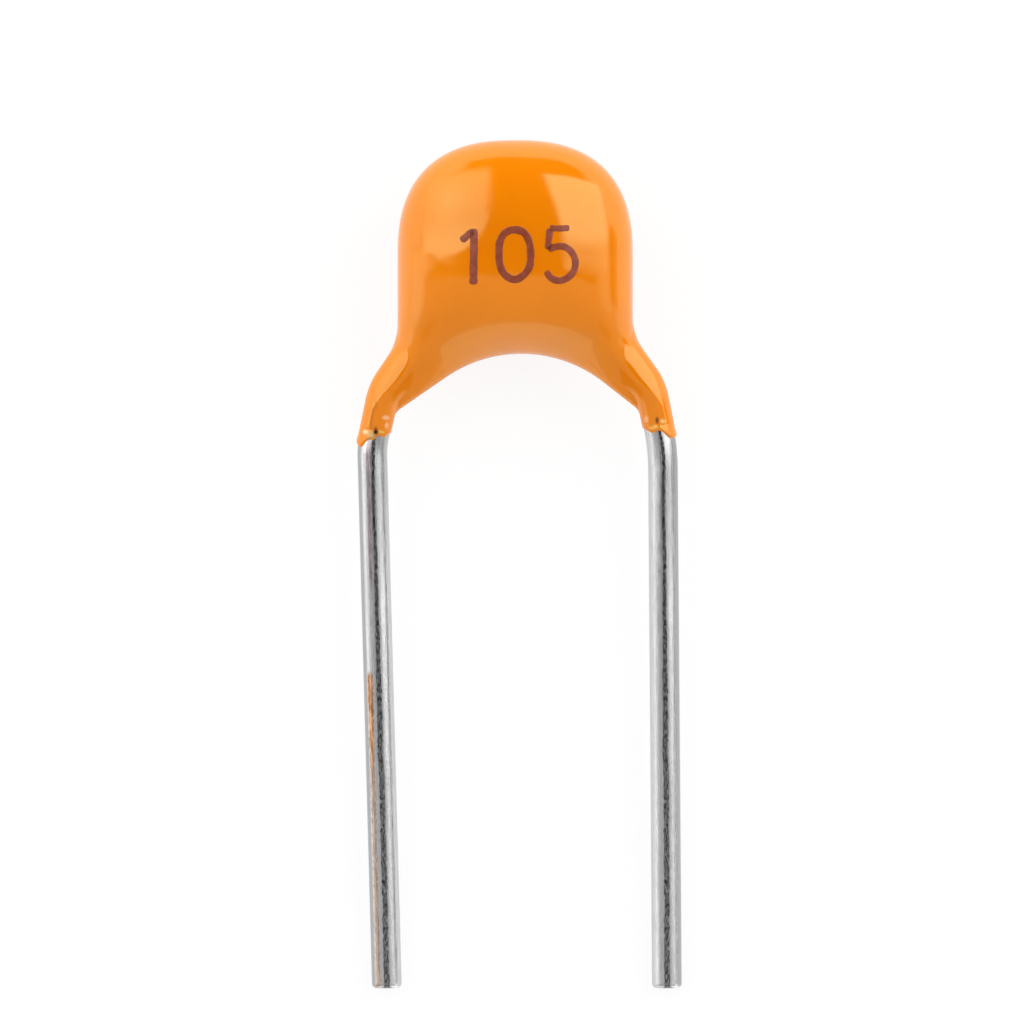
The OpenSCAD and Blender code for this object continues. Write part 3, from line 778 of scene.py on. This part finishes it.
# By a word in the node's name: finish, dark, pale, metallic, roughness, grain
INSIDE = {
    "ceramic_chip": ("fired_ceramic", (0.42, 0.33, 0.24), (0.52, 0.43, 0.33), 0.0, 0.55, 9000),
    "electrode": ("electrode_metal", (0.36, 0.36, 0.38), (0.46, 0.46, 0.48), 1.0, 0.35, 12000),
    "copper": ("fired_copper", (0.62, 0.28, 0.16), (0.74, 0.38, 0.24), 1.0, 0.35, 12000),
    "nickel": ("nickel_plate", (0.5, 0.49, 0.46), (0.6, 0.59, 0.56), 1.0, 0.3, 12000),
    "tin_finish": ("tin_plate", (0.7, 0.7, 0.71), (0.8, 0.8, 0.81), 1.0, 0.3, 12000),
    "solder": ("solder", (0.6, 0.61, 0.62), (0.72, 0.73, 0.74), 1.0, 0.2, 9000),
}
INSIDE_DETAIL = (4, 0.6)
INSIDE_TONES = (0.2, 0.8)
INSIDE_ROUGHER = 0.15


def brown_ink():
    t = Finish("brown_ink")
    where = t.add("ShaderNodeTexCoord").outputs["Object"]
    blotch = t.ramp(t.noise(where, *INK_BLOTCH), *INK_TONES)
    t.shade(Base_Color=t.mixed(blotch, *INK), Roughness=INK_ROUGHNESS)
    return t.material


def inside_finish(name, dark, pale, metallic, roughness, grain):
    t = Finish(name)
    where = t.add("ShaderNodeTexCoord").outputs["Object"]
    speck = t.noise(where, grain, *INSIDE_DETAIL)
    t.shade(Base_Color=t.mixed(t.ramp(speck, *MIDDLE_TONES), (*dark, 1), (*pale, 1)),
            Metallic=metallic,
            Roughness=t.ramp(speck, *INSIDE_TONES, roughness, roughness + INSIDE_ROUGHER))
    return t.material


# ---- leads: one profile swept along each wire's route ------------------------------------------

def wire_sweep_tree():
    t, given = new_shape_tree("wire_sweep", {
        "Route": "Geometry", "Wire Radius": "Float", "Tip Rounding": "Float",
        "Bend Steps": "Int", "Sides": "Int", "Finish": "Material",
    }, "Wire")
    curve = t.add("GeometryNodeMeshToCurve", Mesh=given["Route"]).outputs[0]
    bend = t.add("GeometryNodeInputNamedAttribute", {"data_type": "FLOAT"}, Name="bend").outputs[0]
    bent = t.add("GeometryNodeFilletCurve", {"mode": "POLY"}, Curve=curve, Radius=bend,
                 Count=given["Bend Steps"]).outputs[0]
    run = t.add("GeometryNodeSplineParameter").outputs["Length"]
    tip = given["Tip Rounding"]
    inside = t.minus(tip, t.math("MINIMUM", run, tip))
    squares = t.minus(t.times(tip, tip), t.times(inside, inside))
    radius = t.plus(t.minus(given["Wire Radius"], tip), t.math("SQRT", t.larger(squares, 0.0)))
    measured = t.add("GeometryNodeStoreNamedAttribute", {"data_type": "FLOAT", "domain": "POINT"},
                     Geometry=bent, Name="along", Value=t.times(run, 1 / MM)).outputs[0]
    ring = t.add("GeometryNodeCurvePrimitiveCircle", Resolution=given["Sides"], Radius=1.0)
    swept = t.add("GeometryNodeCurveToMesh", Curve=measured, Profile_Curve=ring.outputs[0],
                  Scale=radius, Fill_Caps=True).outputs[0]
    normal = t.add("GeometryNodeInputNormal").outputs[0]
    faced = t.add("GeometryNodeStoreNamedAttribute",
                  {"data_type": "FLOAT_VECTOR", "domain": "POINT"},
                  Geometry=swept, Name="facing", Value=normal).outputs[0]
    return end_shape_tree(t, faced, given["Finish"], "Wire")


def make_lead(leg, name, tree, finish):
    tip, low_bend = wire_tip(leg), below_kink(leg, leg["set_height"])
    turns = np.radians(np.arange(0, 91, TIP_STEP_DEGREES))
    round_tip = [tip + unit(low_bend - tip) * TIP_ROUNDING * (1 - math.cos(a)) for a in turns]
    corners = [low_bend, kink_corner(leg), shoulder_corner(leg),
               np.array([leg["side"] * WIRE_INNER_X, WIRE_TOP])]
    bends = [0.0] * len(round_tip) + [leg["set_bend"], KINK_BEND, SHOULDER_BEND, 0.0]
    points = lay_down([(x, y, 0.0) for x, y in round_tip + corners])
    mesh = bpy.data.meshes.new(name)
    mesh.from_pydata(points.tolist(), [(i, i + 1) for i in range(len(points) - 1)], [])
    attribute = mesh.attributes.new("bend", "FLOAT", "POINT")
    attribute.data.foreach_set("value", [bend * MM for bend in bends])
    route = placed(name + "_route", mesh)
    sweep = route.modifiers.new("sweep", "NODES")
    sweep.node_group = tree
    give(sweep, Wire_Radius=WIRE_RADIUS * MM, Tip_Rounding=TIP_ROUNDING * MM,
         Bend_Steps=BEND_STEPS, Sides=WIRE_SIDES, Finish=finish)
    return settle(route, name)


# ---- printed value: strokes laid on the marked face --------------------------------------------

STROKE_WIDTH = 0.13
STROKE_SPACING = 0.008
STROKE_END = 0.004
STROKE_END_ROUND = 0.9
SPAN_STEPS = 12
RIBBON_POINTS = 9
PRINT_FROM = 3.0
PRINT_REACH = 10.0
INK_RAGGEDNESS = 0.03
INK_EDGE_GRAIN = (9000, 2)
INK_FILM = 0.008
INK_SUNK = 0.004

# Strokes of the digits: closed or not, share of the width, control points
DIGIT_STROKES = (
    (False, 1.05, ((-0.73, 13.42), (-0.727, 13.16), (-0.734, 12.796), (-0.738, 12.435))),
    (False, 0.95, ((-0.735, 13.39), (-0.84, 13.3), (-0.955, 13.205))),
    (True, 1.0, ((0.008, 13.4), (-0.166, 13.357), (-0.264, 13.207), (-0.286, 13.018),
                 (-0.272, 12.796), (-0.19, 12.619), (-0.024, 12.525), (0.134, 12.591),
                 (0.249, 12.749), (0.273, 12.962), (0.246, 13.184), (0.161, 13.342))),
    (False, 0.82, ((0.608, 13.429), (0.774, 13.425), (0.956, 13.436))),
    (False, 0.92, ((0.613, 13.421), (0.592, 13.239), (0.576, 13.052))),
    (False, 0.92, ((0.58, 13.049), (0.703, 13.1), (0.84, 13.109), (0.956, 13.049),
                   (1.039, 12.931), (1.062, 12.804), (1.024, 12.662), (0.916, 12.552),
                   (0.771, 12.504), (0.629, 12.556), (0.545, 12.673))),
)


def flowing(points, closed):
    """A smooth line through control points."""
    p = np.array(points)
    if closed:
        ghost = np.vstack([p[-1], p, p[0], p[1]])
    else:
        ghost = np.vstack([2 * p[0] - p[1], p, 2 * p[-1] - p[-2]])
    out = []
    for a, b, c, d in zip(ghost, ghost[1:], ghost[2:], ghost[3:]):
        for s in np.linspace(0, 1, SPAN_STEPS, endpoint=False):
            out.append(0.5 * (2 * b + (c - a) * s + (2 * a - 5 * b + 4 * c - d) * s * s
                              + (3 * b - a - 3 * c + d) * s ** 3))
    return np.array(out if closed else out + [p[-1]])


def ink_tree():
    t, given = new_shape_tree("ink_film", {
        "Strokes": "Geometry", "Surface": "Object", "Stroke Width": "Float",
        "Raggedness": "Float", "Film": "Float", "Finish": "Material",
    }, "Ink")
    curve = t.add("GeometryNodeMeshToCurve", Mesh=given["Strokes"]).outputs[0]
    share = t.add("GeometryNodeInputNamedAttribute", {"data_type": "FLOAT"}, Name="share")
    half = t.times(given["Stroke Width"], 0.5, share.outputs[0])
    rough = t.noise(t.add("GeometryNodeInputPosition").outputs[0], *INK_EDGE_GRAIN)
    wobble = t.times(t.minus(rough, 0.5), given["Raggedness"])
    level = t.add("GeometryNodeSetCurveNormal", {"mode": "Z_UP"}, Curve=curve).outputs[0]
    bar = t.add("GeometryNodeCurvePrimitiveLine", Start=(-1, 0, 0), End=(1, 0, 0)).outputs[0]
    bar = t.add("GeometryNodeResampleCurve", {"mode": "COUNT"}, Curve=bar, Count=RIBBON_POINTS)
    ribbon = t.add("GeometryNodeCurveToMesh", Curve=level, Profile_Curve=bar.outputs[0],
                   Scale=t.plus(half, wobble)).outputs[0]
    surface = t.add("GeometryNodeObjectInfo", Object=given["Surface"]).outputs["Geometry"]
    down = (0, math.sin(REST_TILT), -math.cos(REST_TILT))
    hit = t.add("GeometryNodeRaycast", Target_Geometry=surface, Ray_Direction=down,
                Ray_Length=PRINT_REACH * MM).outputs
    sunk = t.vectors("MULTIPLY_ADD", hit["Hit Normal"], [-INK_SUNK * MM] * 3, hit["Hit Position"])
    laid = t.add("GeometryNodeSetPosition", Geometry=ribbon, Position=sunk).outputs[0]
    raised = t.add("GeometryNodeExtrudeMesh", {"mode": "FACES"}, Mesh=laid, Offset=(0, 0, 1),
                   Offset_Scale=given["Film"], Individual=False).outputs[0]
    return end_shape_tree(t, raised, given["Finish"], "Ink")


def print_value(surface, finish):
    points, edges, shares = [], [], []
    for closed, share, line in DIGIT_STROKES:
        flat = stepped(flowing(line, closed), STROKE_SPACING)
        first = len(points)
        run = run_along(flat)
        end = np.full(len(run), 1.0) if closed else np.minimum(run, run[-1] - run)
        cap = rounding(end + STROKE_END, STROKE_WIDTH * share / 2 * STROKE_END_ROUND)
        points += [(x, y, PRINT_FROM) for x, y in flat]
        shares += (share * cap).tolist()
        edges += [(first + i, first + i + 1) for i in range(len(flat) - 1)]
        if closed:
            edges.append((len(points) - 1, first))
    mesh = bpy.data.meshes.new("strokes")
    mesh.from_pydata(lay_down(points).tolist(), edges, [])
    mesh.attributes.new("share", "FLOAT", "POINT").data.foreach_set("value", shares)
    strokes = placed("strokes", mesh)
    film = strokes.modifiers.new("film", "NODES")
    film.node_group = ink_tree()
    give(film, Surface=surface, Stroke_Width=STROKE_WIDTH * MM, Raggedness=INK_RAGGEDNESS * MM,
         Film=INK_FILM * MM, Finish=finish)
    return settle(strokes, "printed_value")


# ---- build -------------------------------------------------------------------------------------

coating = placed("dipped_coating", dip_mesh())
coating.data.materials.append(glossy_orange_epoxy())
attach(coating, "root")
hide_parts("coating")

ink = print_value(coating, brown_ink())
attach(ink, "root")

wire_finishes = {
    "left": tinned_wire("worn_tinned_wire", True),
    "right": tinned_wire("tinned_wire", False),
}
sweep_tree = wire_sweep_tree()
for word, leg in LEGS.items():
    lead = make_lead(leg, f"{word}_tinned_lead", sweep_tree, wire_finishes[word])
    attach(lead, "root")
    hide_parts(f"{word}_lead")

for word, look in INSIDE.items():
    finish = inside_finish(*look)
    for node_name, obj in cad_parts.items():
        if word in node_name:
            obj.data.materials.clear()
            obj.data.materials.append(finish)

# ---- bench, room and camera ---------------------------------------------------------------------

BENCH_SIZE = 1.6
BENCH_WHITE = (0.95, 0.95, 0.95, 1)
BENCH_ROUGHNESS = 0.9
BENCH_GLOW = 1.03
BENCH_GLOW_SHARE = 0.86
WHITE = (1, 1, 1, 1)

# Windows, walls and cards of the room, by their edges in degrees: across to the right of
# straight up, and along towards the top of the body. Strength, left, right, low, high and the
# softness of the four edges
LEFT_WINDOW = (1.35, -78, -8.5, -20, 66, (12, 3, 2, 8))
LEFT_WINDOW_FOOT = (0.7, -66, -14, -20, 10, (6, 4, 2, 8))
LEFT_LOW_WALL = (1.25, -130, -64, -36, 4, (20, 9, 12, 4))
RIGHT_WINDOW = (1.2, -90, 72, -20, 57, (1, 8, 2, 3))
RIGHT_LOW_WALL = (0.85, 54, 76, -30, 3, (8, 4, 10, 3))
RIGHT_CARD = (0.65, 73, 93, -16, 11, (4, 4, 6, 5))
LOW_CARDS = (0.8, 44, 80, -76, -42, (8, 8, 8, 8))

# The left window is cut off along its foot, more towards the right, and has a brighter middle
LEFT_FOOT_FROM = -5.0
LEFT_FOOT_CUT = (34.0, 62.0)
GLOW_MIDDLE = (-38.0, 32.0)
GLOW_SPREAD = 15.0
GLOW_STRENGTH = 0.8
GLOW_EDGE = (-11.5, -5.5, 1.0, 0.0)

# The right window's left side leans from its top, and the window brightens above its sill
RIGHT_SIDE = (7.5, 13.5)
RIGHT_SIDE_TOP = 57.0
RIGHT_SIDE_LEAN = 0.2
SILL = (-0.2, 0.6)
SILL_GLOW = (0.5, 9.0)

# Walls: from and to in degrees, away from straight up, across or along, and the value at each.
# The near wall's top sinks towards the right from a bearing on
FAR_WALL = (76.0, 112.0, 0.0, 0.75)
FAR_WALL_FOOT = (0.0, 10.0)
SIDE_WALL = (62.0, 78.0, 0.0, 1.15)
SIDE_WALL_FOOT = (0.0, 6.0)
SIDE_WALL_LEFT = (-38.0, -22.0, 1.0, 0.0)
SIDE_WALL_RIGHT = (40.0, 60.0)
SIDE_WALL_RIGHT_FOOT = (10.0, 20.0)
NEAR_WALL_TOP = (1.2, 2.6)
NEAR_WALL_LIGHT = (0.04, 0.47)
NEAR_WALL_LOWER = (50.0, 90.0, 0.0, 0.1)
NEAR_WALL_TURNS = 30.0
NEAR_WALL_SLOPE = -0.1

# The horizon's light, by how high the way there points
HORIZON = (0.1, 0.17, 0.95, 0.0)

# Light on dull surfaces only: from and to in degrees and the value at each
FILL_LIGHT = (62.0, 84.0)
FILL_FAR = (0.0, 60.0, 1.3, 2.2)
FILL_NEAR = (-60.0, 0.0, 0.3, 0.0)

CAMERA_MIDDLE = (-0.0566, 8.425, 0.0)
CAMERA_FIELD = 18.1239
CAMERA_DISTANCE = 300.0
CAMERA_SENSOR = 36
CAMERA_CLIP = (0.001, 10)


def bench():
    bpy.ops.mesh.primitive_plane_add(size=BENCH_SIZE, location=(0, 0, 0))
    floor = bpy.context.object
    floor.name = "bench"
    t = Finish("white_bench")
    t.shade(Base_Color=BENCH_WHITE, Roughness=BENCH_ROUGHNESS, Specular_IOR_Level=0.0)
    lit = t.add("ShaderNodeEmission", Color=WHITE, Strength=BENCH_GLOW)
    seen = t.add("ShaderNodeLightPath").outputs
    plain = t.larger(seen["Is Camera Ray"], seen["Is Glossy Ray"], seen["Is Transmission Ray"])
    mix = t.add("ShaderNodeMixShader", _0=t.times(plain, BENCH_GLOW_SHARE),
                _1=t.shader.outputs[0], _2=lit.outputs[0])
    t.feed(t.out, "Surface", mix.outputs[0])
    floor.data.materials.append(t.material)


class Room(Tree):
    """The tree of the room's light, with the degrees that its parts are placed by."""

    def __init__(self, tree):
        super().__init__(tree)
        self.way = self.add("ShaderNodeTexCoord").outputs["Generated"]
        square = self.add("ShaderNodeVectorRotate", {"rotation_type": "X_AXIS"}, Vector=self.way,
                          Angle=-REST_TILT).outputs[0]
        x, y, z = self.add("ShaderNodeSeparateXYZ", Vector=square).outputs
        self.away = self.math("DEGREES", self.math("ARCCOSINE", z))
        level = self.math("SQRT", self.larger(self.minus(1.0, self.times(z, z)), 0.000001))
        degrees = self.math("DIVIDE", self.away, level)
        self.across, self.along = self.times(x, degrees), self.times(y, degrees)

    def card(self, across, strength, left, right, low, high, soft):
        return self.times(
            self.ramp(across, left - soft[0], left + soft[0], 0.0, strength),
            self.ramp(across, right - soft[1], right + soft[1], 1.0, 0.0),
            self.ramp(self.along, low - soft[2], low + soft[2]),
            self.ramp(self.along, high - soft[3], high + soft[3], 1.0, 0.0))

    def left_window(self):
        glow_x, glow_y = (
            self.math("POWER", self.math("DIVIDE", self.minus(value, middle), GLOW_SPREAD), 2.0)
            for value, middle in zip((self.across, self.along), GLOW_MIDDLE))
        glow = self.math("EXPONENT", self.times(self.plus(glow_x, glow_y), -0.5))
        panes = self.plus(self.card(self.across, *LEFT_WINDOW),
                          self.card(self.across, *LEFT_WINDOW_FOOT))
        glow = self.times(glow, GLOW_STRENGTH, self.ramp(self.across, *GLOW_EDGE))
        from_right = self.larger(self.minus(LEFT_FOOT_FROM, self.across), 0.0)
        foot = self.ramp(self.times(self.along, from_right), *LEFT_FOOT_CUT)
        return self.times(self.plus(panes, glow), foot)

    def right_window(self):
        below_top = self.larger(self.minus(RIGHT_SIDE_TOP, self.along), 0.0)
        leaning = self.minus(self.across, self.times(below_top, RIGHT_SIDE_LEAN))
        return self.times(
            self.card(self.across, *RIGHT_WINDOW), self.ramp(leaning, *RIGHT_SIDE),
            self.ramp(self.along, *SILL), self.plus(1.0, self.ramp(self.along, *SILL_GLOW)))

    def walls(self):
        far_wall = self.times(self.ramp(self.away, *FAR_WALL),
                              self.ramp(self.along, *FAR_WALL_FOOT))
        to_right = self.times(self.ramp(self.across, *SIDE_WALL_RIGHT),
                              self.ramp(self.along, *SIDE_WALL_RIGHT_FOOT))
        side_wall = self.times(
            self.ramp(self.away, *SIDE_WALL), self.ramp(self.along, *SIDE_WALL_FOOT),
            self.larger(self.ramp(self.across, *SIDE_WALL_LEFT), to_right))
        turned_off = self.larger(self.minus(self.across, NEAR_WALL_TURNS), 0.0)
        near = self.plus(self.times(self.along, -1.0), self.times(turned_off, NEAR_WALL_SLOPE))
        lower = self.times(self.ramp(self.away, *NEAR_WALL_LOWER),
                           self.ramp(near, *NEAR_WALL_TOP))
        near_wall = self.plus(self.ramp(near, *NEAR_WALL_TOP, *NEAR_WALL_LIGHT), lower)
        return far_wall, side_wall, near_wall

    def fill(self):
        """Light from low round the room, stronger from beyond the body's top."""
        return self.times(
            self.ramp(self.away, *FILL_LIGHT),
            self.plus(self.ramp(self.along, *FILL_FAR), self.ramp(self.along, *FILL_NEAR)))


def pale_room():
    """The room round the bench: two windows, pale walls and a few dark cards."""
    world = bpy.data.worlds.new("pale_room")
    bpy.context.scene.world = world
    world.use_nodes = True
    world.node_tree.nodes.clear()
    t = Room(world.node_tree)
    height = t.add("ShaderNodeSeparateXYZ", Vector=t.way).outputs[2]
    light = t.larger(t.ramp(height, *HORIZON), t.left_window(), t.right_window(), *t.walls(),
                     t.card(t.across, *LEFT_LOW_WALL), t.card(t.across, *RIGHT_LOW_WALL))
    light = t.times(light, t.minus(1.0, t.card(t.across, *RIGHT_CARD)),
                    t.minus(1.0, t.card(t.math("ABSOLUTE", t.across), *LOW_CARDS)))
    seen = t.add("ShaderNodeLightPath").outputs
    light = t.plus(light, t.times(seen["Is Diffuse Ray"], t.fill()))
    lit = t.add("ShaderNodeBackground", Color=WHITE, Strength=light)
    white = t.add("ShaderNodeBackground", Color=WHITE, Strength=1.0)
    mix = t.add("ShaderNodeMixShader", _0=seen["Is Camera Ray"], _1=lit.outputs[0],
                _2=white.outputs[0])
    t.add("ShaderNodeOutputWorld", Surface=mix.outputs[0])


def camera():
    """The camera stands straight over the marked face."""
    c, s = math.cos(REST_TILT), math.sin(REST_TILT)
    right, up, back = Vector((1, 0, 0)), Vector((0, c, s)), Vector((0, -s, c))
    data = bpy.data.cameras.new("camera")
    data.sensor_width = CAMERA_SENSOR
    data.lens = CAMERA_SENSOR * CAMERA_DISTANCE / CAMERA_FIELD
    data.clip_start, data.clip_end = CAMERA_CLIP
    obj = placed("camera", data)
    middle = Vector(lay_down([CAMERA_MIDDLE])[0])
    turn = Matrix((right, up, back)).transposed().to_4x4()
    obj.matrix_world = Matrix.Translation(middle + back * CAMERA_DISTANCE * MM) @ turn
    bpy.context.scene.camera = obj


bench()
pale_room()
camera()
bpy.context.scene.view_settings.view_transform = "Standard"

bpy.context.view_layer.update()
